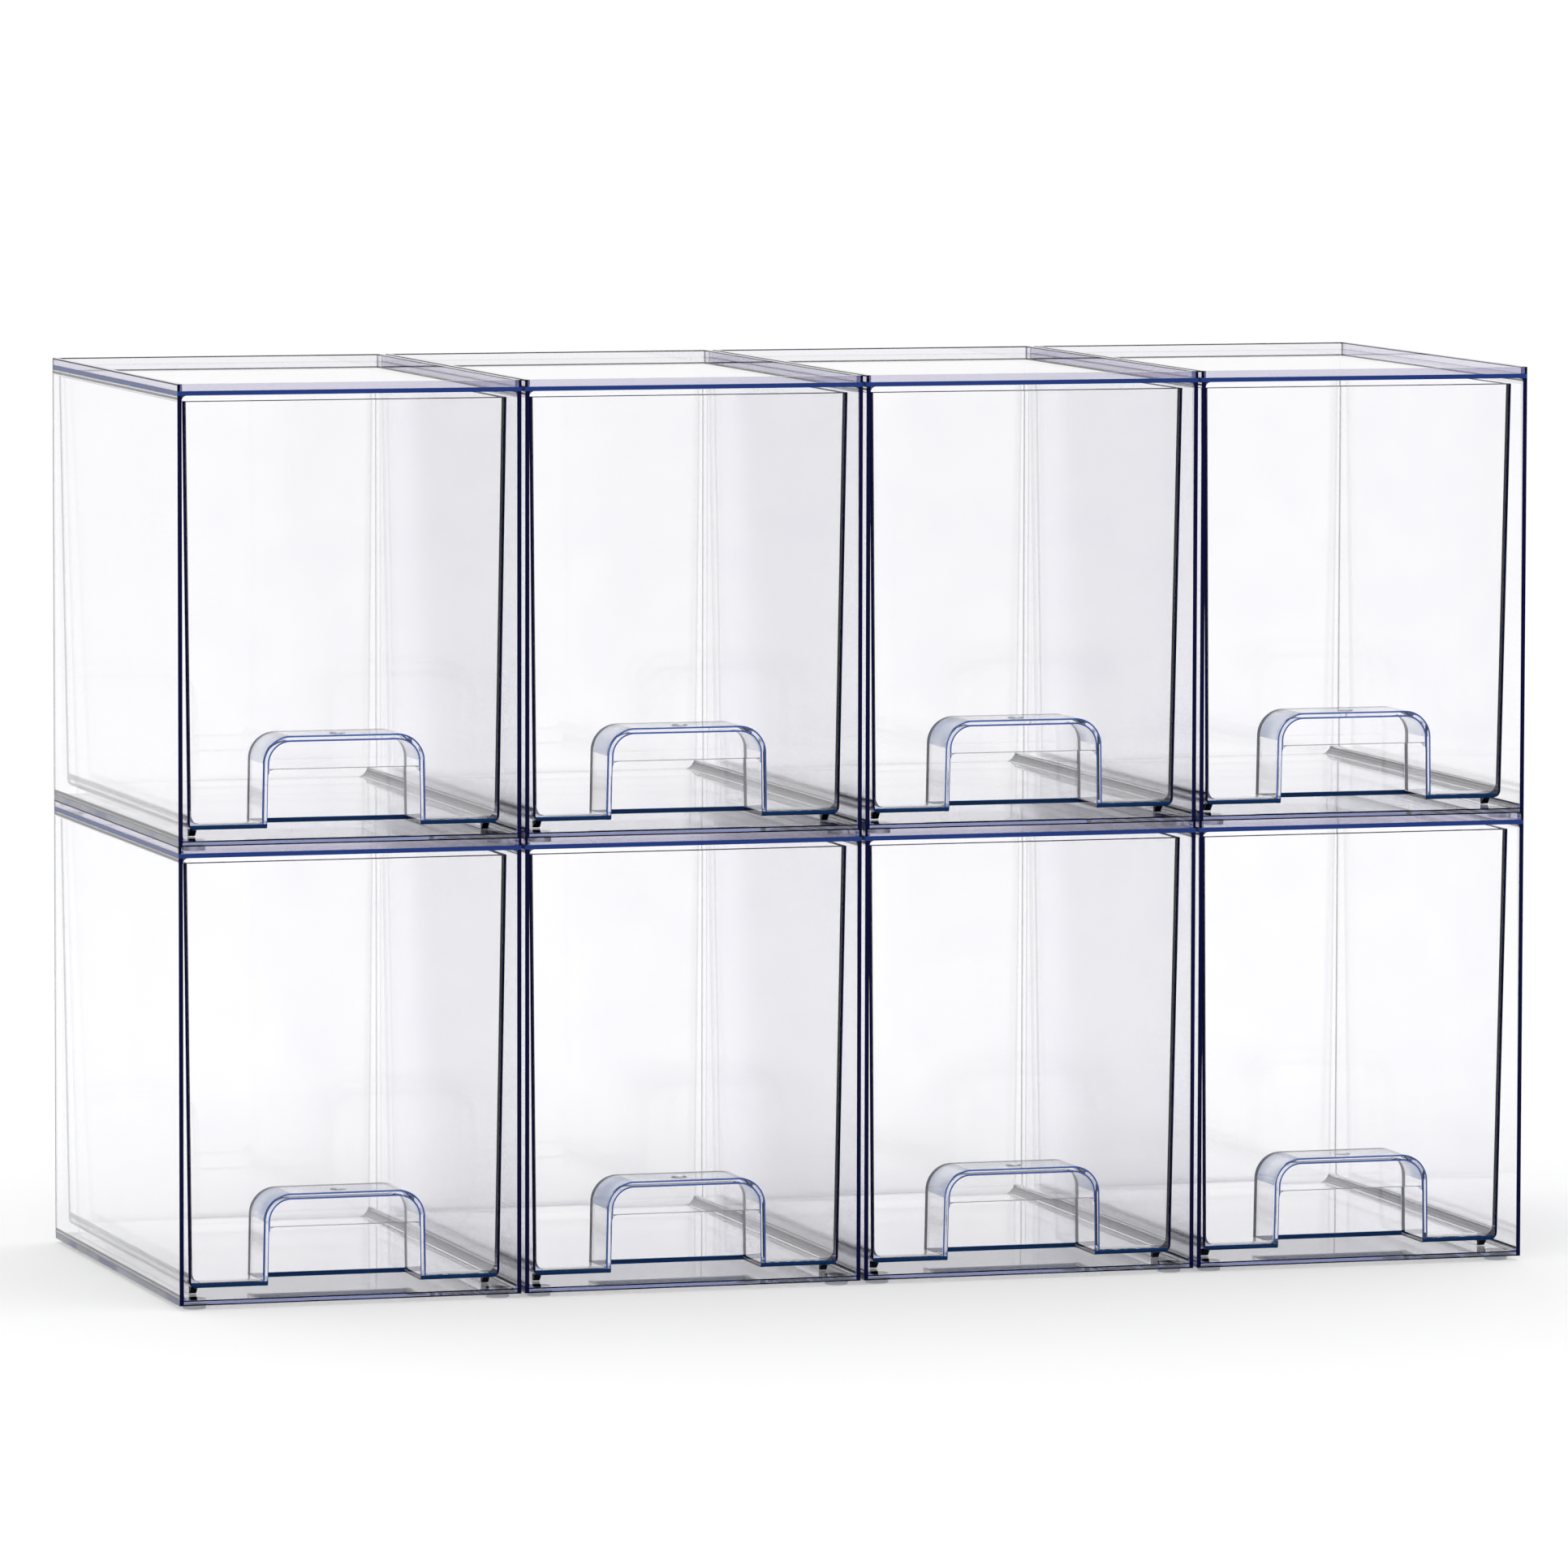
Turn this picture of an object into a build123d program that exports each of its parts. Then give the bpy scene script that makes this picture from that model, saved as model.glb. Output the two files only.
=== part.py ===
from build123d import *
import os
from math import radians, tan

# Clear moulded storage drawers: eight stacking units in four columns and two rows.
# Each unit is a clear open-front case on four round pads, with one drawer that slides
# out of it. A rim round the top of every case carries the unit above, whose pads drop
# inside it. Millimetres. +X runs along the row, the open fronts face -Y, +Z is up, and
# the origin is under the middle of the whole set, on the surface that it stands on.

# How the units stand
COLUMNS = 4
ROWS = ("lower", "upper")
COLUMN_GAP = 1.4            # air between two cases that stand side by side

# Case: a five-sided box, open at the front, with a stacking rim round its top
CASE_WIDTH = 129.0
CASE_DEPTH = 203.0
CASE_HEIGHT = 168.0         # underside of the floor to the top of the rim
CASE_WALL = 1.6             # two sides and the back
CASE_TOP = 1.6
CASE_FLOOR = 2.0
CASE_BACK_RADIUS = 2.0      # upright back corners, outside
CAVITY_RADIUS = 2.0         # inside, where the top and the floor turn into the sides
RIM_WIDTH = 2.1

# Round pads under each case, which drop inside the rim of the case below
PAD_DIAMETER = 8.6
PAD_HEIGHT = 1.8
PAD_TO_RIM = 0.8            # side of a pad to the inside of the rim
PAD_TO_TOP = 0.8            # underside of a pad to the top plate of the case below

# Drawer: an open box that narrows downwards, so that it leaves its mould
DRAWER_WALL = 1.6
DRAWER_FLOOR = 1.7
DRAFT_ANGLE = 0.8           # degrees, on all four walls
SIDE_CLEARANCE = 2.0        # to each side of the case, at the drawer's top edge
TOP_CLEARANCE = 2.4
BACK_CLEARANCE = 1.2
FRONT_RECESS = 7.6          # front edge of the case to the drawer's top front edge
DRAWER_SIDE_RADIUS = 3.0    # outside, floor to side walls
DRAWER_END_RADIUS = 1.0     # outside, round the front and the back
INSIDE_SIDE_RADIUS = 4.0    # inside, floor to side walls
INSIDE_END_RADIUS = 1.2     # inside, round the front and the back

# Runners: two ribs under the drawer that slide on the floor of the case
RUNNER_WIDTH = 2.5
RUNNER_HEIGHT = 2.8
RUNNER_TO_ROUND = 0.4       # middle of a rib to the rounding along the drawer's side
RUNNER_SETBACK = 5.0        # drawer's underside front to the rib's front end
RUNNER_END_GAP = 6.0        # rib's rear end to the drawer's underside back
RUNNING_GAP = 0.2           # rib to the floor of the case

# Finger pull: an arched pocket at the bottom of the front, open below, behind a lip
PULL_WIDTH = 61.4
PULL_HEIGHT = 33.6
PULL_DEPTH = 25.0           # drawer's front to the rear of the pocket's back wall
PULL_WALL = 1.8
PULL_RADIUS = 10.0          # upper corners of the arch, outside
PULL_LEAN = 1.0             # degrees, each leg leans in towards the top
PULL_REAR_BEVEL = 0.9       # along the rear edge of the arch
WINDOW_HEIGHT = 21.5        # drawer's underside to the lower edge of the lip
WINDOW_RADIUS = 2.4

# Heights within one unit, above the underside of its case
RIM_HEIGHT = PAD_HEIGHT + PAD_TO_TOP
CASE_TOP_UNDERSIDE = CASE_HEIGHT - RIM_HEIGHT - CASE_TOP
DRAWER_UNDERSIDE = CASE_FLOOR + RUNNING_GAP + RUNNER_HEIGHT
DRAWER_HEIGHT = CASE_TOP_UNDERSIDE - TOP_CLEARANCE - DRAWER_UNDERSIDE

# Plan of the drawer, from the case around it
DRAWER_WIDTH = CASE_WIDTH - 2 * (CASE_WALL + SIDE_CLEARANCE)
DRAWER_FRONT = -CASE_DEPTH / 2 + FRONT_RECESS
DRAWER_BACK = CASE_DEPTH / 2 - CASE_WALL - BACK_CLEARANCE
DRAWER_DEPTH = DRAWER_BACK - DRAWER_FRONT
DRAFT_STEP = DRAWER_HEIGHT * tan(radians(DRAFT_ANGLE))   # each wall's lean, top to underside
UNDERSIDE_FRONT = DRAWER_FRONT + DRAFT_STEP
UNDERSIDE_BACK = DRAWER_BACK - DRAFT_STEP

OVERCUT = 5.0               # how far a cut runs past the face that it opens
ON_FLOOR = (Align.CENTER, Align.CENTER, Align.MIN)
HUNG = (Align.CENTER, Align.CENTER, Align.MAX)


def case_cavity():
    """The space inside a case, running out through its open front."""
    width = CASE_WIDTH - 2 * CASE_WALL
    height = CASE_TOP_UNDERSIDE - CASE_FLOOR
    length = CASE_DEPTH - CASE_WALL + OVERCUT
    section = Plane.XZ * RectangleRounded(width, height, CAVITY_RADIUS)
    space = extrude(section, amount=length / 2, both=True)
    middle = CASE_DEPTH / 2 - CASE_WALL - length / 2
    return Pos(0, middle, CASE_FLOOR + height / 2) * space


def rim_recess():
    """The tray that the rim leaves on the top plate, open upwards."""
    width = CASE_WIDTH - 2 * RIM_WIDTH
    depth = CASE_DEPTH - 2 * RIM_WIDTH
    return Pos(0, 0, CASE_HEIGHT - RIM_HEIGHT) * Box(width, depth, RIM_HEIGHT + OVERCUT, align=ON_FLOOR)


def make_case():
    """One case: shell, floor, top plate and stacking rim in one moulding."""
    block = Box(CASE_WIDTH, CASE_DEPTH, CASE_HEIGHT, align=ON_FLOOR)
    upright_back = block.edges().filter_by(Axis.Z).group_by(Axis.Y)[-1]
    block = fillet(upright_back, CASE_BACK_RADIUS)
    return block - case_cavity() - rim_recess()


def make_pads():
    """The four pads under one case, as four separate solids."""
    pad = Cylinder(PAD_DIAMETER / 2, PAD_HEIGHT, align=HUNG)
    inset = RIM_WIDTH + PAD_TO_RIM + PAD_DIAMETER / 2
    reach_x = CASE_WIDTH / 2 - inset
    reach_y = CASE_DEPTH / 2 - inset
    return [Pos(x, y, 0) * pad for x in (-reach_x, reach_x) for y in (-reach_y, reach_y)]


def drafted_outline(width, height, radius):
    """An upright outline hung from its top edge, narrowing downwards by the draft angle."""
    top = width / 2
    foot = top - height * tan(radians(DRAFT_ANGLE))
    corners = [(-top, 0), (-foot, -height), (foot, -height), (top, 0)]
    face = make_face(Polyline(corners, close=True))
    return fillet(face.vertices().group_by(Axis.Y)[0], radius)


def drafted_box(wall, floor, side_radius, end_radius):
    """The drawer's outside, or with a wall and a floor its inside: its front and side views crossed."""
    width = DRAWER_WIDTH - 2 * wall
    depth = DRAWER_DEPTH - 2 * wall
    height = DRAWER_HEIGHT - floor
    from_front = extrude(Plane.XZ * drafted_outline(width, height, side_radius), depth, both=True)
    from_side = extrude(Plane.YZ * drafted_outline(depth, height, end_radius), width, both=True)
    return Pos(0, (DRAWER_FRONT + DRAWER_BACK) / 2, DRAWER_HEIGHT) * (from_front & from_side)


def arch(width, height, radius, front, rear):
    """An upright arch on the drawer's underside, with leaning legs, from front to rear."""
    lean = height * tan(radians(PULL_LEAN))
    foot = width / 2
    outline = Polyline((-foot, 0), (lean - foot, height), (foot - lean, height), (foot, 0), close=True)
    solid = extrude(Plane.XZ * make_face(outline), amount=front - rear)
    upper = solid.edges().filter_by(Axis.Y).group_by(Axis.Z)[-1]
    return Pos(0, front, 0) * fillet(upper, radius)


def pull_shell():
    """The arch and its back wall, still filled."""
    middle_of_panel = UNDERSIDE_FRONT + DRAWER_WALL / 2
    solid = arch(PULL_WIDTH, PULL_HEIGHT, PULL_RADIUS, middle_of_panel, UNDERSIDE_FRONT + PULL_DEPTH)
    rear = solid.faces().sort_by(Axis.Y)[-1]
    return chamfer([edge for edge in rear.edges() if edge.center().Z > PULL_REAR_BEVEL], PULL_REAR_BEVEL)


def pull_space():
    """The finger space: the pocket behind the lip, and the window below the lip."""
    width = PULL_WIDTH - 2 * PULL_WALL
    height = PULL_HEIGHT - PULL_WALL
    behind_panel = UNDERSIDE_FRONT + DRAWER_WALL
    back_wall = UNDERSIDE_FRONT + PULL_DEPTH - PULL_WALL
    pocket = arch(width, height, PULL_RADIUS - PULL_WALL, behind_panel, back_wall)
    window = arch(width, WINDOW_HEIGHT, WINDOW_RADIUS, DRAWER_FRONT - OVERCUT, behind_panel)
    return pocket + window


def make_runner():
    """One rib, with a sloping front end that leads it over the edge of the case's floor."""
    length = UNDERSIDE_BACK - RUNNER_END_GAP - UNDERSIDE_FRONT - RUNNER_SETBACK
    into_floor = DRAWER_FLOOR / 2
    rib = Box(RUNNER_WIDTH, length, RUNNER_HEIGHT + into_floor, align=(Align.CENTER, Align.MIN, Align.MIN))
    lead_in = rib.edges().filter_by(Axis.X).group_by(Axis.Z)[0].sort_by(Axis.Y)[0]
    rib = chamfer(lead_in, RUNNER_HEIGHT)
    return Pos(0, UNDERSIDE_FRONT + RUNNER_SETBACK, -RUNNER_HEIGHT) * rib


def make_drawer():
    """One drawer, with its underside at the height of zero, in one moulding."""
    drawer = drafted_box(0, 0, DRAWER_SIDE_RADIUS, DRAWER_END_RADIUS)
    drawer -= drafted_box(DRAWER_WALL, DRAWER_FLOOR, INSIDE_SIDE_RADIUS, INSIDE_END_RADIUS)
    drawer += pull_shell()
    drawer -= pull_space()
    runner_x = DRAWER_WIDTH / 2 - DRAFT_STEP - DRAWER_SIDE_RADIUS - RUNNER_TO_ROUND
    return drawer + Pos(-runner_x, 0, 0) * make_runner() + Pos(runner_x, 0, 0) * make_runner()


def unit_places():
    """The name ending of every unit, and the middle of its underside."""
    pitch = CASE_WIDTH + COLUMN_GAP
    for level, row in enumerate(ROWS):
        for column in range(COLUMNS):
            x = (column - (COLUMNS - 1) / 2) * pitch
            yield f"{row}_{column + 1}", Pos(x, 0, PAD_HEIGHT + level * CASE_HEIGHT)


os.makedirs("parts", exist_ok=True)
case = make_case()
pads = make_pads()
drawer = make_drawer()
for ending, place in unit_places():
    export_step(place * case, f"parts/case_{ending}.step")
    export_step(Compound([place * pad for pad in pads]), f"parts/pads_{ending}.step")
    export_step(place * Pos(0, 0, DRAWER_UNDERSIDE) * drawer, f"parts/drawer_{ending}.step")
print(f"each drawer: {DRAWER_WIDTH:.1f} wide, {DRAWER_DEPTH:.1f} deep, {DRAWER_HEIGHT:.1f} high")
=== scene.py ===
# %% [markdown]
# # Clear stacking storage drawers
# Eight clear plastic units stand in four columns and two rows. Each unit is an open-front
# case with one drawer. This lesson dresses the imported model: it gives the clear plastic
# its dark edges and its faint tint, adds the small mark that moulding leaves on each
# finger pull, lays a pale floor, lights it softly and sets the camera. Everything is in
# metres, in the model's own frame: X along the row, fronts towards -Y.

# %% Load the model
import math

import bpy
from mathutils import Matrix, Vector


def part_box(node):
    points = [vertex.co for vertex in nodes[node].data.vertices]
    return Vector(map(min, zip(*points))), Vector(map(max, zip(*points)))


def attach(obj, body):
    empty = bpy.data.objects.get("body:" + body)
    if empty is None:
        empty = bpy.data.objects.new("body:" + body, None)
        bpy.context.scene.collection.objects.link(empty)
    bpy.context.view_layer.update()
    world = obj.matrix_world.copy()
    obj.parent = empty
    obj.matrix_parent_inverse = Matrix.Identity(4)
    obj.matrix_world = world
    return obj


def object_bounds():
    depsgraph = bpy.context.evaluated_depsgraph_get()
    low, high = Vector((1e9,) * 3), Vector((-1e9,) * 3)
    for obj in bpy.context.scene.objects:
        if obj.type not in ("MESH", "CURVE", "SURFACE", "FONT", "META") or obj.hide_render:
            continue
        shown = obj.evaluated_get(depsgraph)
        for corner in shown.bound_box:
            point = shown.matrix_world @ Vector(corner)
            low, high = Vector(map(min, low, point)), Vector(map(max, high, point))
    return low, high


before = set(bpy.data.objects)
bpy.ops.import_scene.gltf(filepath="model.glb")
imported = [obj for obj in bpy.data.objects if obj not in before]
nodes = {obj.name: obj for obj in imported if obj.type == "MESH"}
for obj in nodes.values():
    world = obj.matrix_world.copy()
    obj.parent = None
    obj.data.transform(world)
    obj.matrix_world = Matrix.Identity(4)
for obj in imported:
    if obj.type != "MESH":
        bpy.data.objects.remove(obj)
scene = bpy.context.scene
cad_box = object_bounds()

# %% [markdown]
# ## Sizes that the finishes need
# A case and a drawer keep their outside sizes in the frame, so they are read from it. The
# thin sizes of the mouldings, such as a wall or a rim, can't be read from a box, so they
# are written here once.

# %% Sizes
CASE_FLOOR = 0.0020
CASE_WALL = 0.0016
TOP_PLATE = 0.0016
RIM_HEIGHT = 0.0026
DRAFT = math.tan(math.radians(0.8))         # lean of a drawer's walls
DRAWER_FLOOR = 0.0017
RUNNER_HEIGHT = 0.0028
RUNNER_NOSE = 0.0090                        # drawer's front to the end of a runner's slope
PULL_WIDTH = 0.0614
PULL_HEIGHT = 0.0336
PULL_DEPTH = 0.0250
PULL_WALL = 0.0018
PULL_RADIUS = 0.0100
PULL_LEAN = math.tan(math.radians(1.0))
WINDOW_HEIGHT = 0.0215
SKIN = 0.00015                              # how near a point lies to count as on a face
case_low, case_high = (Vector(corner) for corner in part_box("case_lower_1"))
print("a case measures", [round(length, 4) for length in case_high - case_low])

# %% [markdown]
# ## Shader helpers
# Every material below is a small node tree. These helpers keep the trees readable: one
# starts a material, one adds a node with its values, one does a sum, and one lays painted
# shade over the surface wherever a mask is one. A painted shade is red, green, blue and cover.

# %% Shader helpers


def new_material(name):
    """An empty node material and its tree."""
    material = bpy.data.materials.new(name)
    material.use_nodes = True
    material.node_tree.nodes.clear()
    return material, material.node_tree


def add_node(tree, kind, label, **values):
    """A node with a plain label and the values of its inputs."""
    node = tree.nodes.new(kind)
    node.label = label
    for key, value in values.items():
        node.inputs[key.replace("_", " ")].default_value = value
    return node


def calc(tree, operation, *terms):
    """One sum on sockets or plain numbers."""
    node = tree.nodes.new("ShaderNodeMath")
    node.operation = operation
    for slot, term in zip(node.inputs, terms):
        if isinstance(term, bpy.types.NodeSocket):
            tree.links.new(term, slot)
        else:
            slot.default_value = term
    return node.outputs["Value"]


def all_of(tree, *masks):
    """One where every mask is one."""
    total = masks[0]
    for mask in masks[1:]:
        total = calc(tree, "MULTIPLY", total, mask)
    return total


def any_of(tree, *masks):
    """One where at least one mask is one."""
    total = masks[0]
    for mask in masks[1:]:
        total = calc(tree, "MAXIMUM", total, mask)
    return total


def with_painted_shade(tree, under, painted_shade, mask, label):
    """The surface below with painted shade laid on it: its colour, and how clear it is."""
    colour, clearness = under
    *shade_colour, cover = painted_shade
    mix = tree.nodes.new("ShaderNodeMix")
    mix.data_type = "RGBA"
    mix.label = label
    tree.links.new(mask, mix.inputs[0])
    tree.links.new(colour, mix.inputs[6])
    mix.inputs[7].default_value = (*shade_colour, 1.0)
    covered = calc(tree, "MULTIPLY_ADD", mask, -cover, 1.0)
    return mix.outputs[2], calc(tree, "MINIMUM", clearness, covered)


def place_on_piece(tree, origin):
    """A point's X, Y and Z from the origin, and which way its face looks along Y and Z."""
    source = add_node(tree, "ShaderNodeTexCoord", "place on the piece")
    moved = tree.nodes.new("ShaderNodeVectorMath")
    moved.operation = "SUBTRACT"
    moved.inputs[1].default_value = origin
    tree.links.new(source.outputs["Object"], moved.inputs[0])
    parts = add_node(tree, "ShaderNodeSeparateXYZ", "place")
    tree.links.new(moved.outputs["Vector"], parts.inputs[0])
    facing = add_node(tree, "ShaderNodeSeparateXYZ", "facing")
    tree.links.new(source.outputs["Normal"], facing.inputs[0])
    x, y, z = (parts.outputs[axis] for axis in "XYZ")
    return x, y, z, facing.outputs["Y"], facing.outputs["Z"]


def object_noise(tree, label, size):
    """Noise whose blotches are about the given size in metres."""
    source = add_node(tree, "ShaderNodeTexCoord", "place on the object")
    noise = add_node(tree, "ShaderNodeTexNoise", label, Scale=1 / size, Detail=0.0)
    tree.links.new(source.outputs["Object"], noise.inputs["Vector"])
    return noise.outputs["Fac"]


NOISE_LOW, NOISE_HIGH = 0.3, 0.7            # the range that most of a noise lies in
FACING = 0.5                                # how squarely a face must look one way


def spread(tree, source, low, high, label):
    """The middle range of a noise spread between two values."""
    node = add_node(
        tree, "ShaderNodeMapRange", label, From_Min=NOISE_LOW, From_Max=NOISE_HIGH, To_Min=low, To_Max=high,
    )
    tree.links.new(source, node.inputs["Value"])
    return node.outputs["Result"]


# %% [markdown]
# ## Clear plastic
# The cases and drawers are moulded in clear, faintly blue plastic. Face on, a wall is
# 1.6 mm thick and takes almost no light. Edge on, light runs along the inside of the wall
# for 100 mm or more, so the edges look dark navy. Two things give that here. The plastic
# absorbs a little light with every millimetre, as the real one does. And the ends of the
# walls carry painted shade, dark navy in the plastic's own hue, because a render follows
# a ray through far fewer mirrorings than a real edge has.
#
# The painted shade is laid by masks on the piece's own coordinates, so it is on the edge
# from every side and moves with the drawer. Each painted shade has a colour and a cover:
# where it covers fully, the plastic isn't clear at all, because a clear surface would go on
# mirroring the white studio and never look dark. Faint clouds vary the tint of the plastic
# and of the painted shade.
#
# The surface's gloss is far below that of real plastic (0.5 on the same socket). At a
# steep angle real gloss would mirror the white studio over the inks and turn them grey.
# The photograph's edges stay navy, so the gloss is turned down here. Under other lights
# the set would look less shiny than a real one.

# %% Clear plastic
CLEAR_IOR = 1.55
SURFACE_GLOSS = 0.03
CLOUD_SIZE = 0.018
CLEAR = (0.997, 0.996, 0.999)
CLOUDED = (0.988, 0.985, 0.994)
LAMP_LIGHT_LEFT = (0.985, 0.985, 0.990)     # of a lamp's light, past one face


def cloudy_clear(tree, clouds):
    """The plastic's own colour, with faint clouds."""
    mix = tree.nodes.new("ShaderNodeMix")
    mix.data_type = "RGBA"
    mix.label = "faint clouds"
    tree.links.new(spread(tree, clouds, 0.0, 1.0, "clouds"), mix.inputs[0])
    mix.inputs[6].default_value = (*CLEAR, 1.0)
    mix.inputs[7].default_value = (*CLOUDED, 1.0)
    return mix.outputs[2]


def clear_plastic(name, absorbed_per_metre, absorption_tint, paint_edge_shade):
    """Clear moulded plastic with painted shade on its edges, which lets the lamps through to the floor."""
    material, tree = new_material(name)
    plastic = add_node(
        tree, "ShaderNodeBsdfPrincipled", "plastic",
        Roughness=0.0, IOR=CLEAR_IOR, Specular_IOR_Level=SURFACE_GLOSS,
    )
    clouds = object_noise(tree, "clouds", CLOUD_SIZE)
    colour, clearness = paint_edge_shade(tree, (cloudy_clear(tree, clouds), 1.0), clouds)
    tree.links.new(colour, plastic.inputs["Base Color"])
    tree.links.new(clearness, plastic.inputs["Transmission Weight"])
    ray = add_node(tree, "ShaderNodeLightPath", "kind of ray")
    passing = add_node(
        tree, "ShaderNodeBsdfTransparent", "light of the lamps", Color=(*LAMP_LIGHT_LEFT, 1.0),
    )
    surface = add_node(tree, "ShaderNodeMixShader", "lamps pass")
    tree.links.new(ray.outputs["Is Shadow Ray"], surface.inputs[0])
    tree.links.new(plastic.outputs["BSDF"], surface.inputs[1])
    tree.links.new(passing.outputs["BSDF"], surface.inputs[2])
    inside = add_node(
        tree, "ShaderNodeVolumeAbsorption", "tint inside",
        Color=(*absorption_tint, 1.0), Density=absorbed_per_metre,
    )
    output = add_node(tree, "ShaderNodeOutputMaterial", "output")
    tree.links.new(surface.outputs["Shader"], output.inputs["Surface"])
    tree.links.new(inside.outputs["Volume"], output.inputs["Volume"])
    return material


# %% [markdown]
# ## A case's edges
# In the photograph the ends of the side walls look almost black, and the end of the top
# plate is a strong blue. The rim above it is a greyish lavender with a thin dark line
# along its top. The floor's end is light between two thin dark lines, and the upright
# back corners show as thin dark lines too.

# %% A case's edges
# Painted shade, in the plastic's own blue hue: dark on the ends of the walls, the top plate and the thin
# lines, paler on the rim, the rear rim and the floor's end, where a real case darkens edge on.
WALL_END_PAINTED_SHADE = (0.002, 0.003, 0.035, 1.0)
PLATE_END_PAINTED_SHADE = (0.018, 0.045, 0.210, 1.0)
PLATE_SIDE_PAINTED_SHADE = (0.060, 0.090, 0.260, 0.8)
RIM_PAINTED_SHADE = (0.480, 0.450, 0.600, 0.0)
REAR_RIM_PAINTED_SHADE = (0.820, 0.810, 0.850, 0.0)
REAR_LINE_PAINTED_SHADE = (0.050, 0.050, 0.070, 0.9)
FLOOR_END_PAINTED_SHADE = (0.640, 0.680, 0.780, 0.15)
FLOOR_SIDE_PAINTED_SHADE = (0.160, 0.190, 0.360, 0.5)
LINE_PAINTED_SHADE = (0.0004, 0.0010, 0.010, 1.0)
CORNER_LINE = 0.0010
RIM_LINE = 0.0005
FLOOR_LINE = 0.00045
SIDE_STREAKS = 0.25                         # least of the painted shade between the streaks


def case_painted_shade(node_name):
    """The function that paints shade on one case, from its box in the frame."""
    low, high = (Vector(corner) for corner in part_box(node_name))
    half_width, half_depth, height = (high.x - low.x) / 2, (high.y - low.y) / 2, high.z - low.z
    origin = Vector(((low.x + high.x) / 2, (low.y + high.y) / 2, low.z))
    rim_bottom = height - RIM_HEIGHT
    plate_bottom = rim_bottom - TOP_PLATE

    def paint_edge_shade(tree, surface, clouds):
        x, y, z, _, _ = place_on_piece(tree, origin)
        side = calc(tree, "SUBTRACT", half_width, calc(tree, "ABSOLUTE", x))
        front = calc(tree, "ADD", y, half_depth)
        back = calc(tree, "SUBTRACT", half_depth, y)
        on_front = calc(tree, "LESS_THAN", front, SKIN)
        on_side = calc(tree, "LESS_THAN", side, SKIN)
        in_rim = calc(tree, "GREATER_THAN", z, rim_bottom)
        above_cavity = calc(tree, "GREATER_THAN", z, plate_bottom)
        in_plate = calc(tree, "SUBTRACT", above_cavity, in_rim)
        in_floor = calc(tree, "LESS_THAN", z, CASE_FLOOR)
        below_plate = calc(tree, "LESS_THAN", z, plate_bottom)
        wall_end = all_of(tree, on_front, below_plate, calc(tree, "LESS_THAN", side, CASE_WALL))
        floor_end = all_of(tree, on_front, in_floor)
        floor_rim = calc(tree, "COMPARE", z, CASE_FLOOR / 2, CASE_FLOOR / 2 - FLOOR_LINE)
        floor_lines = all_of(tree, floor_end, calc(tree, "SUBTRACT", 1.0, floor_rim))
        near_side = calc(tree, "LESS_THAN", side, CORNER_LINE)
        near_back = calc(tree, "LESS_THAN", back, 2 * CORNER_LINE)
        near_top = calc(tree, "GREATER_THAN", z, height - RIM_LINE)
        streaks = spread(tree, clouds, SIDE_STREAKS, 1.0, "streaks")
        rim = all_of(tree, in_rim, any_of(tree, on_front, on_side))
        rear_rim = all_of(tree, in_rim, calc(tree, "LESS_THAN", back, SKIN))
        floor_side = all_of(tree, in_floor, on_side, streaks)
        rear_line = all_of(tree, near_top, calc(tree, "LESS_THAN", back, RIM_LINE))
        clear = with_painted_shade(tree, surface, RIM_PAINTED_SHADE, rim, "rim")
        clear = with_painted_shade(tree, clear, REAR_RIM_PAINTED_SHADE, rear_rim, "rear rim")
        clear = with_painted_shade(tree, clear, REAR_LINE_PAINTED_SHADE, rear_line, "line on the rear rim")
        clear = with_painted_shade(tree, clear, PLATE_SIDE_PAINTED_SHADE, all_of(tree, in_plate, on_side), "top plate's sides")
        clear = with_painted_shade(tree, clear, FLOOR_SIDE_PAINTED_SHADE, floor_side, "floor's sides")
        clear = with_painted_shade(tree, clear, FLOOR_END_PAINTED_SHADE, floor_end, "floor's front")
        clear = with_painted_shade(tree, clear, PLATE_END_PAINTED_SHADE, all_of(tree, in_plate, on_front), "top plate's front")
        clear = with_painted_shade(tree, clear, WALL_END_PAINTED_SHADE, wall_end, "ends of the walls")
        lines = any_of(
            tree,
            floor_lines,
            all_of(tree, near_side, near_back),
            all_of(tree, near_top, calc(tree, "LESS_THAN", side, RIM_LINE)),
            all_of(tree, near_side, on_front, in_rim),
        )
        return with_painted_shade(tree, clear, LINE_PAINTED_SHADE, lines, "thin lines")

    return paint_edge_shade


# %% [markdown]
# ## A drawer's edges
# A drawer narrows downwards, so the distance to a wall is taken from the leaning wall. Its
# upright corners and its top edge get thin lines of painted shade, and the floor's end a dark
# band of it. The finger pull is an arch, so its outline is the distance to a rounded rectangle.
# The roof of the pocket gets light streaks of painted shade, and the rear end of the arch a
# navy band of it.

# %% A drawer's edges
# Painted shade, in the plastic's own blue hue: on the floor's end, the edges and corners, the foot of the
# walls, and the outline, lip, roof and rear of the finger pull.
DRAWER_FLOOR_PAINTED_SHADE = (0.006, 0.035, 0.130, 1.0)
TOP_EDGE_PAINTED_SHADE = (0.030, 0.032, 0.060, 0.8)
ROOF_PAINTED_SHADE = (0.550, 0.600, 0.720, 0.25)
ARCH_CORNER_PAINTED_SHADE = (0.200, 0.280, 0.500, 0.20)
OUTLINE_PAINTED_SHADE = (0.050, 0.110, 0.380, 0.9)
LIP_PAINTED_SHADE = (0.300, 0.310, 0.350, 0.7)
REAR_PAINTED_SHADE = (0.004, 0.018, 0.080, 1.0)
FOOT_PAINTED_SHADE = (0.010, 0.016, 0.060, 0.7)
DRAWER_LINE = 0.0003
TOP_LINE = 0.0003
FOOT_LINE = 0.0023                          # across the rounding between wall and floor
REAR_BAND = 0.0042
WALL_END_LINE = 0.0009
ARCH_STREAKS = 0.35                         # least of the painted shade between the streaks


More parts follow.
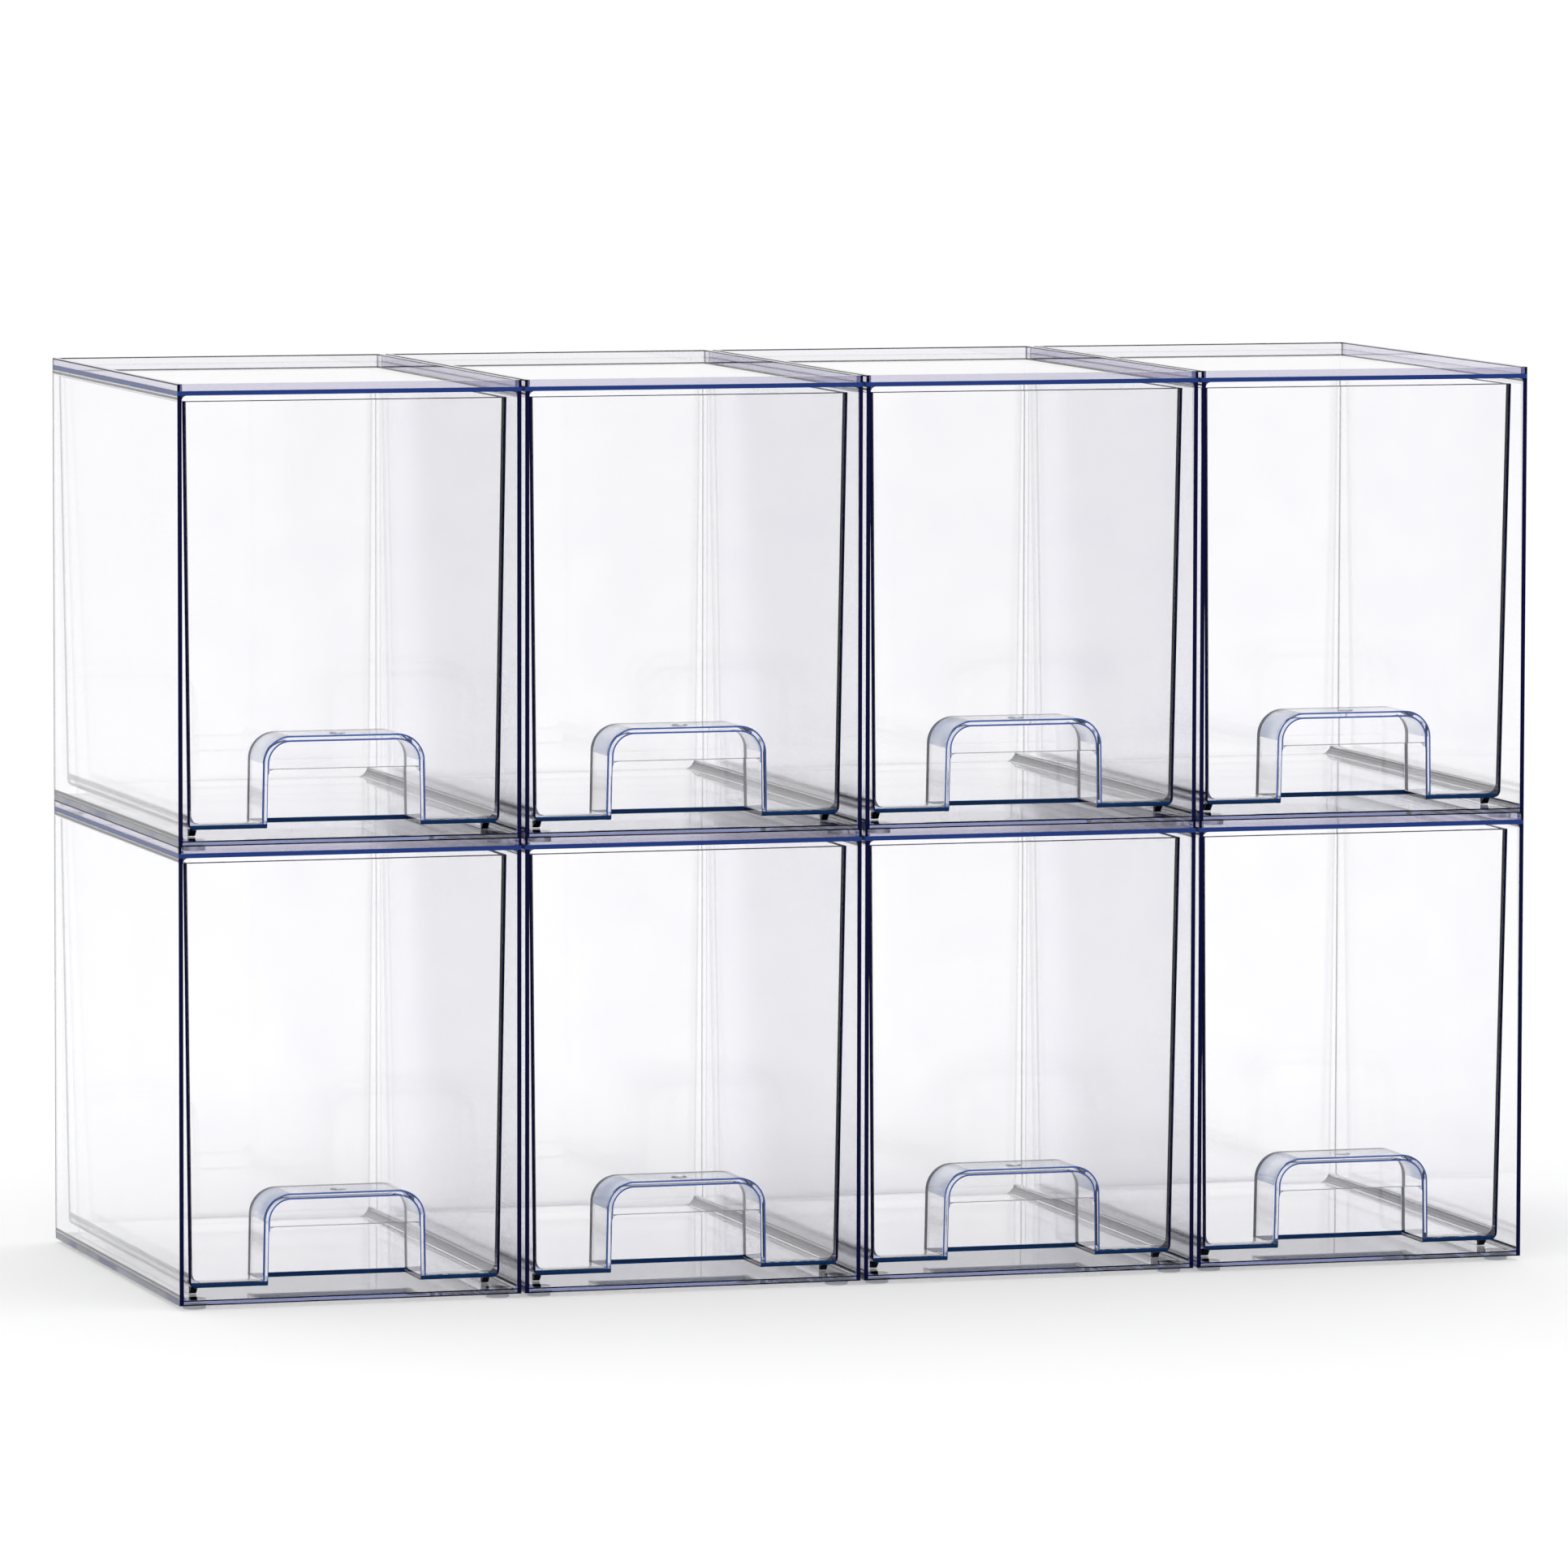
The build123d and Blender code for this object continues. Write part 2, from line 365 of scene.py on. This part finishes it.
def arch_distance(tree, x, height):
    """Distance outwards from the pull's arch, and how far into its rounded corners a point is."""
    half = calc(tree, "SUBTRACT", PULL_WIDTH / 2 - PULL_RADIUS, calc(tree, "MULTIPLY", height, PULL_LEAN))
    across = calc(tree, "SUBTRACT", calc(tree, "ABSOLUTE", x), half)
    upwards = calc(tree, "SUBTRACT", height, PULL_HEIGHT - PULL_RADIUS)
    out_x = calc(tree, "MAXIMUM", across, 0.0)
    out_z = calc(tree, "MAXIMUM", upwards, 0.0)
    square = calc(tree, "ADD", calc(tree, "MULTIPLY", out_x, out_x), calc(tree, "MULTIPLY", out_z, out_z))
    within = calc(tree, "MINIMUM", calc(tree, "MAXIMUM", across, upwards), 0.0)
    distance = calc(tree, "SUBTRACT", calc(tree, "ADD", calc(tree, "SQRT", square), within), PULL_RADIUS)
    return distance, across, upwards


def drawer_painted_shade(node_name):
    """The function that paints shade on one drawer, from its box in the frame."""
    low, high = (Vector(corner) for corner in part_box(node_name))
    half_width, depth, drop = (high.x - low.x) / 2, high.y - low.y, high.z - low.z - RUNNER_HEIGHT
    origin = Vector(((low.x + high.x) / 2, low.y, low.z + RUNNER_HEIGHT))

    def paint_edge_shade(tree, surface, clouds):
        x, y, z, facing_y, _ = place_on_piece(tree, origin)
        lean = calc(tree, "MULTIPLY", calc(tree, "SUBTRACT", drop, z), DRAFT)
        side = calc(tree, "SUBTRACT", calc(tree, "SUBTRACT", half_width, lean), calc(tree, "ABSOLUTE", x))
        front = calc(tree, "SUBTRACT", y, lean)
        back = calc(tree, "SUBTRACT", calc(tree, "SUBTRACT", depth, lean), y)
        near_side = calc(tree, "LESS_THAN", side, DRAWER_LINE)
        near_end = any_of(
            tree, calc(tree, "LESS_THAN", front, DRAWER_LINE), calc(tree, "LESS_THAN", back, DRAWER_LINE),
        )
        on_panel = calc(tree, "LESS_THAN", front, SKIN)
        on_top = calc(tree, "GREATER_THAN", z, drop - TOP_LINE)
        faces_end = calc(tree, "GREATER_THAN", calc(tree, "ABSOLUTE", facing_y), FACING)
        in_front = calc(tree, "LESS_THAN", y, depth / 2)
        floor_end = all_of(tree, faces_end, in_front, calc(tree, "LESS_THAN", z, DRAWER_FLOOR))
        foot = calc(tree, "LESS_THAN", calc(tree, "ADD", side, z), FOOT_LINE)
        above_floor = calc(tree, "GREATER_THAN", z, SKIN)
        nose_end = RUNNER_NOSE + drop * DRAFT
        nose = all_of(tree, calc(tree, "LESS_THAN", z, -SKIN), calc(tree, "LESS_THAN", y, nose_end))

        from_arch, across, upwards = arch_distance(tree, x, z)
        pocket = calc(tree, "SUBTRACT", y, drop * DRAFT)
        on_arch = calc(tree, "COMPARE", from_arch, 0.0, SKIN)
        past_panel = calc(tree, "GREATER_THAN", front, SKIN)
        in_pocket = all_of(tree, past_panel, calc(tree, "LESS_THAN", pocket, PULL_DEPTH + SKIN))
        roof = all_of(tree, in_pocket, on_arch, calc(tree, "GREATER_THAN", upwards, 0.0))
        arch_corner = all_of(tree, roof, calc(tree, "GREATER_THAN", across, 0.0))
        rear = all_of(tree, in_pocket, on_arch, calc(tree, "GREATER_THAN", pocket, PULL_DEPTH - REAR_BAND))
        outline = all_of(tree, on_panel, any_of(
            tree, calc(tree, "COMPARE", from_arch, -SKIN, 2 * SKIN),
            calc(tree, "COMPARE", from_arch, -PULL_WALL, 2 * SKIN),
        ))
        lip = all_of(
            tree, on_panel, calc(tree, "COMPARE", z, WINDOW_HEIGHT, 2 * SKIN),
            calc(tree, "LESS_THAN", from_arch, -PULL_WALL),
        )
        in_leg = calc(tree, "COMPARE", from_arch, -PULL_WALL / 2, PULL_WALL / 2)
        leg_foot = all_of(tree, in_pocket, calc(tree, "COMPARE", z, 0.0, 2 * SKIN), in_leg)
        wall_end = all_of(tree, on_panel, calc(tree, "LESS_THAN", side, WALL_END_LINE))
        streaks = spread(tree, clouds, ARCH_STREAKS, 1.0, "streaks")

        clear = with_painted_shade(tree, surface, ROOF_PAINTED_SHADE, all_of(tree, roof, streaks), "roof of the pocket")
        clear = with_painted_shade(tree, clear, ARCH_CORNER_PAINTED_SHADE, all_of(tree, arch_corner, streaks), "arch's corners")
        clear = with_painted_shade(tree, clear, OUTLINE_PAINTED_SHADE, outline, "outline")
        clear = with_painted_shade(tree, clear, LIP_PAINTED_SHADE, lip, "lip")
        clear = with_painted_shade(tree, clear, REAR_PAINTED_SHADE, rear, "rear edge of the arch")
        clear = with_painted_shade(tree, clear, TOP_EDGE_PAINTED_SHADE, on_top, "top edge")
        clear = with_painted_shade(tree, clear, FOOT_PAINTED_SHADE, all_of(tree, foot, above_floor), "foot of the walls")
        clear = with_painted_shade(tree, clear, DRAWER_FLOOR_PAINTED_SHADE, floor_end, "floor's front")
        clear = with_painted_shade(tree, clear, WALL_END_PAINTED_SHADE, wall_end, "ends of the walls")
        lines = any_of(tree, all_of(tree, near_side, near_end), nose, leg_foot)
        return with_painted_shade(tree, clear, LINE_PAINTED_SHADE, lines, "thin lines")

    return paint_edge_shade


# %% [markdown]
# ## The pads
# The round pads under each case are clear too. Their sides look darker than their ends,
# so painted shade goes where the face looks sideways.

# %% The pads
# painted shade on the sides of the pads
PAD_SIDE_PAINTED_SHADE = (0.600, 0.620, 0.700, 0.15)


def sideways_painted_shade(painted_shade):
    """The function that paints shade on the faces which look sideways."""

    def paint_edge_shade(tree, surface, _):
        facing_z = place_on_piece(tree, (0.0, 0.0, 0.0))[-1]
        sideways = calc(tree, "LESS_THAN", calc(tree, "ABSOLUTE", facing_z), FACING)
        return with_painted_shade(tree, surface, painted_shade, sideways, "sides")

    return paint_edge_shade


def pad_painted_shade(_):
    """The function that paints shade on pads, which is the same for every case."""
    return sideways_painted_shade(PAD_SIDE_PAINTED_SHADE)


# %% [markdown]
# ## Which piece gets which plastic
# A imported piece keeps its mesh and its place, and only its material changes. Each piece
# has a material of its own, because its painted shade is measured from its own box.

# %% Give the pieces their plastic
CASE_PLASTIC = {"absorbed_per_metre": 8.0, "absorption_tint": (0.0, 0.08, 0.50)}
DRAWER_PLASTIC = {"absorbed_per_metre": 3.5, "absorption_tint": (0.0, 0.06, 0.45)}
PAINTED_SHADE_MAKERS = {
    "case": (case_painted_shade, CASE_PLASTIC),
    "drawer": (drawer_painted_shade, DRAWER_PLASTIC),
    "pads": (pad_painted_shade, CASE_PLASTIC),
}
for node_name, piece in nodes.items():
    shade_maker, plastic = PAINTED_SHADE_MAKERS[node_name.split("_")[0]]
    piece.data.materials.clear()
    dress = clear_plastic(f"clear_{node_name}", paint_edge_shade=shade_maker(node_name), **plastic)
    piece.data.materials.append(dress)
print("dressed", len(nodes), "pieces")

# %% [markdown]
# ## Gate marks
# Molten plastic enters a mould through a small gate, and leaves a low round mark there. On
# these drawers it is on the roof of the finger pocket. A mark is a round ball pressed flat
# from below: Geometry Nodes set every point's height, so the lower half becomes the mark's
# level underside and the mesh stays closed. The same tree makes the mark of each drawer,
# with the place as an input, and each result becomes a plain mesh that slides with it.

# %% Gate marks
GATE_RADIUS = 0.0030
GATE_HEIGHT = 0.0006
GATE_BEHIND_PANEL = 0.0105
GATE_CLEARANCE = 0.00003
GATE_SEGMENTS = 40
GATE_RINGS = 16
# painted shade on the sides of a gate mark, as on the pads
GATE_SIDE_PAINTED_SHADE = (0.300, 0.340, 0.480, 0.4)


def tree_input(tree, name, kind):
    """A named input of a Geometry Nodes tree, and its identifier."""
    return tree.interface.new_socket(name=name, in_out="INPUT", socket_type=kind).identifier


def gate_mark_tree(material):
    """The tree that makes one mark at a place, and the identifiers of its inputs."""
    tree = bpy.data.node_groups.new("gate_mark", "GeometryNodeTree")
    tree.interface.new_socket(name="Mark", in_out="OUTPUT", socket_type="NodeSocketGeometry")
    inputs = {name: tree_input(tree, name, kind) for name, kind in (
        ("Radius", "NodeSocketFloat"), ("Height", "NodeSocketFloat"), ("Place", "NodeSocketVector"),
    )}
    given = tree.nodes.new("NodeGroupInput")
    ball = add_node(tree, "GeometryNodeMeshUVSphere", "ball", Segments=GATE_SEGMENTS, Rings=GATE_RINGS)
    tree.links.new(given.outputs["Radius"], ball.inputs["Radius"])
    point = add_node(tree, "ShaderNodeSeparateXYZ", "point")
    tree.links.new(tree.nodes.new("GeometryNodeInputPosition").outputs["Position"], point.inputs[0])
    share = calc(tree, "DIVIDE", calc(tree, "MAXIMUM", point.outputs["Z"], 0.0), given.outputs["Radius"])
    pressed = add_node(tree, "ShaderNodeCombineXYZ", "pressed flat")
    tree.links.new(point.outputs["X"], pressed.inputs["X"])
    tree.links.new(point.outputs["Y"], pressed.inputs["Y"])
    tree.links.new(calc(tree, "MULTIPLY", share, given.outputs["Height"]), pressed.inputs["Z"])
    mark = add_node(tree, "GeometryNodeSetPosition", "mark")
    tree.links.new(ball.outputs["Mesh"], mark.inputs["Geometry"])
    tree.links.new(pressed.outputs["Vector"], mark.inputs["Position"])
    smooth = add_node(tree, "GeometryNodeSetShadeSmooth", "smooth")
    tree.links.new(mark.outputs["Geometry"], smooth.inputs["Geometry"])
    spot = add_node(tree, "GeometryNodePoints", "where it sits")
    tree.links.new(given.outputs["Place"], spot.inputs["Position"])
    placed = tree.nodes.new("GeometryNodeInstanceOnPoints")
    tree.links.new(spot.outputs[0], placed.inputs["Points"])
    tree.links.new(smooth.outputs["Geometry"], placed.inputs["Instance"])
    real = tree.nodes.new("GeometryNodeRealizeInstances")
    tree.links.new(placed.outputs["Instances"], real.inputs["Geometry"])
    dressed = tree.nodes.new("GeometryNodeSetMaterial")
    dressed.inputs["Material"].default_value = material
    tree.links.new(real.outputs["Geometry"], dressed.inputs["Geometry"])
    result = tree.nodes.new("NodeGroupOutput")
    tree.links.new(dressed.outputs["Geometry"], result.inputs["Mark"])
    return tree, inputs


def gate_mark(ending, tree, inputs, material):
    """The mark of one drawer, as a plain mesh that slides with the drawer."""
    low, high = (Vector(corner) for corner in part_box(f"drawer_{ending}"))
    underside = low.z + RUNNER_HEIGHT
    panel = low.y + (high.z - underside) * DRAFT
    roof = underside + PULL_HEIGHT + GATE_CLEARANCE
    maker = bpy.data.objects.new("maker", bpy.data.meshes.new("maker"))
    scene.collection.objects.link(maker)
    modifier = maker.modifiers.new("gate mark", "NODES")
    modifier.node_group = tree
    modifier[inputs["Radius"]] = GATE_RADIUS
    modifier[inputs["Height"]] = GATE_HEIGHT
    modifier[inputs["Place"]] = ((low.x + high.x) / 2, panel + GATE_BEHIND_PANEL, roof)
    evaluated = maker.evaluated_get(bpy.context.evaluated_depsgraph_get())
    mesh = bpy.data.meshes.new_from_object(evaluated)
    bpy.data.objects.remove(maker)
    mesh.name = f"gate_mark_{ending}"
    mesh.materials.clear()
    mesh.materials.append(material)
    mark = bpy.data.objects.new(mesh.name, mesh)
    scene.collection.objects.link(mark)
    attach(mark, f"sliding_drawer_{ending}")
    return mark


gate_plastic = clear_plastic("clear_gate_mark", paint_edge_shade=sideways_painted_shade(GATE_SIDE_PAINTED_SHADE), **DRAWER_PLASTIC)
mark_tree, mark_inputs = gate_mark_tree(gate_plastic)
drawer_endings = [name.split("_", 1)[1] for name in nodes if name.startswith("drawer_")]
gate_marks = [gate_mark(ending, mark_tree, mark_inputs, gate_plastic) for ending in drawer_endings]
print("gate marks:", len(gate_marks), "with", len(gate_marks[0].data.polygons), "faces each")

# %% [markdown]
# ## Floor
# The set stands on a plain white floor. For lamps the floor is an ordinary matt surface,
# so it keeps the shadow. For the camera, and for rays that reach it through the plastic,
# it also glows a little, which brings its unshaded part up to the white of the backdrop.

# %% Floor
FLOOR_REACH = 30.0
FLOOR_GREY = 0.80
FLOOR_LIFT = 0.21


def make_floor():
    """A large level plane just under the pads."""
    mesh = bpy.data.meshes.new("studio_floor")
    signs = ((-1, -1), (1, -1), (1, 1), (-1, 1))
    corners = [(x * FLOOR_REACH, y * FLOOR_REACH, 0) for x, y in signs]
    mesh.from_pydata(corners, [], [(0, 1, 2, 3)])
    floor = bpy.data.objects.new("studio_floor", mesh)
    scene.collection.objects.link(floor)
    return floor


def seen_directly(tree):
    """One for rays of the camera, mirror rays and rays through clear plastic, else zero."""
    path = add_node(tree, "ShaderNodeLightPath", "kind of ray")
    return any_of(tree, *(path.outputs[f"Is {kind} Ray"] for kind in ("Camera", "Glossy", "Transmission")))


def floor_material():
    """Matt white, lifted to the backdrop's white where it is looked at."""
    material, tree = new_material("floor_white")
    grey = (FLOOR_GREY, FLOOR_GREY, FLOOR_GREY, 1.0)
    matt = add_node(tree, "ShaderNodeBsdfDiffuse", "matt", Color=grey)
    glow = add_node(tree, "ShaderNodeEmission", "lift")
    tree.links.new(calc(tree, "MULTIPLY", seen_directly(tree), FLOOR_LIFT), glow.inputs["Strength"])
    both = add_node(tree, "ShaderNodeAddShader", "matt and lift")
    tree.links.new(matt.outputs["BSDF"], both.inputs[0])
    tree.links.new(glow.outputs["Emission"], both.inputs[1])
    output = add_node(tree, "ShaderNodeOutputMaterial", "output")
    tree.links.new(both.outputs["Shader"], output.inputs["Surface"])
    return material


floor = make_floor()
floor.data.materials.append(floor_material())
print("floor reaches", FLOOR_REACH, "m each way")

# %% [markdown]
# ## Backdrop and light
# The photograph has a white studio all round. A white world does the same: it is the
# backdrop for the camera and the soft light on the set. One wide lamp above and to the
# left gives the light a direction, so that the floor gets a soft shadow.

# %% Backdrop and light
world = bpy.data.worlds.new("white_studio")
scene.world = world
world.use_nodes = True
world.node_tree.nodes.clear()
WHITE = (1.0, 1.0, 1.0, 1.0)
backdrop = add_node(world.node_tree, "ShaderNodeBackground", "white studio", Color=WHITE, Strength=1.0)
world_output = add_node(world.node_tree, "ShaderNodeOutputWorld", "output")
world.node_tree.links.new(backdrop.outputs["Background"], world_output.inputs["Surface"])


def soft_lamp(name, place, target, width, watts):
    """A square area lamp that faces the target."""
    data = bpy.data.lights.new(name, "AREA")
    data.size = width
    data.energy = watts
    lamp = bpy.data.objects.new(name, data)
    scene.collection.objects.link(lamp)
    lamp.location = place
    lamp.rotation_euler = (Vector(target) - Vector(place)).to_track_quat("-Z", "Y").to_euler()
    return lamp


SET_MIDDLE = (cad_box[0] + cad_box[1]) / 2
LAMP_PLACE = (-1.2, -0.8, 2.2)
LAMP_WIDTH = 1.6
LAMP_WATTS = 8.0
soft_lamp("lamp_above_left", LAMP_PLACE, SET_MIDDLE, LAMP_WIDTH, LAMP_WATTS)

# %% [markdown]
# ## Camera
# The photograph was taken with a long lens from the front left, a little above. The
# camera's place, turn and lens were worked out from the corners of the cases in the
# photograph, and are written here as real sizes.

# %% Camera
CAMERA_PLACE = Vector((-1.1853, -3.9335, 0.5392))
CAMERA_TURN = math.radians(16.767)      # to the right of straight ahead
CAMERA_DIP = math.radians(5.023)        # below level
CAMERA_ROLL = math.radians(0.128)
CAMERA_LENS_MM = 250.2
SENSOR_MM = 36.0


def camera_axes(turn, dip, roll):
    """The camera's right, up and backward directions."""
    ahead = Vector((math.sin(turn) * math.cos(dip), math.cos(turn) * math.cos(dip), -math.sin(dip)))
    right = Vector((math.cos(turn), -math.sin(turn), 0.0))
    up = right.cross(ahead)
    rolled_right = right * math.cos(roll) + up * math.sin(roll)
    rolled_up = up * math.cos(roll) - right * math.sin(roll)
    return rolled_right, rolled_up, -ahead


camera_data = bpy.data.cameras.new("camera")
camera_data.sensor_width = SENSOR_MM
camera_data.lens = CAMERA_LENS_MM
camera_data.clip_end = 200.0
camera = bpy.data.objects.new("camera", camera_data)
scene.collection.objects.link(camera)
turned = Matrix(camera_axes(CAMERA_TURN, CAMERA_DIP, CAMERA_ROLL)).transposed()
camera.matrix_world = Matrix.Translation(CAMERA_PLACE) @ turned.to_4x4()
scene.camera = camera
print("camera distance", round((CAMERA_PLACE - SET_MIDDLE).length, 3), "m")

# %% [markdown]
# ## Render settings that clear plastic needs
# A ray crosses many walls here, and inside an edge it is mirrored again and again. With
# the usual limit of 12 such a ray would stop sooner and turn black, so the limit is
# raised to 20. The clear walls are nearly free of noise, so the noise threshold lets
# Cycles stop early there in a render of many samples.

# %% Render settings
scene.view_settings.view_transform = "Standard"
MOST_BOUNCES = 20
scene.cycles.max_bounces = MOST_BOUNCES
scene.cycles.transmission_bounces = MOST_BOUNCES
scene.cycles.glossy_bounces = 10
scene.cycles.diffuse_bounces = 1
scene.cycles.adaptive_threshold = 0.1
scene.cycles.transparent_max_bounces = 96

# %% Finish
print("scene set up")
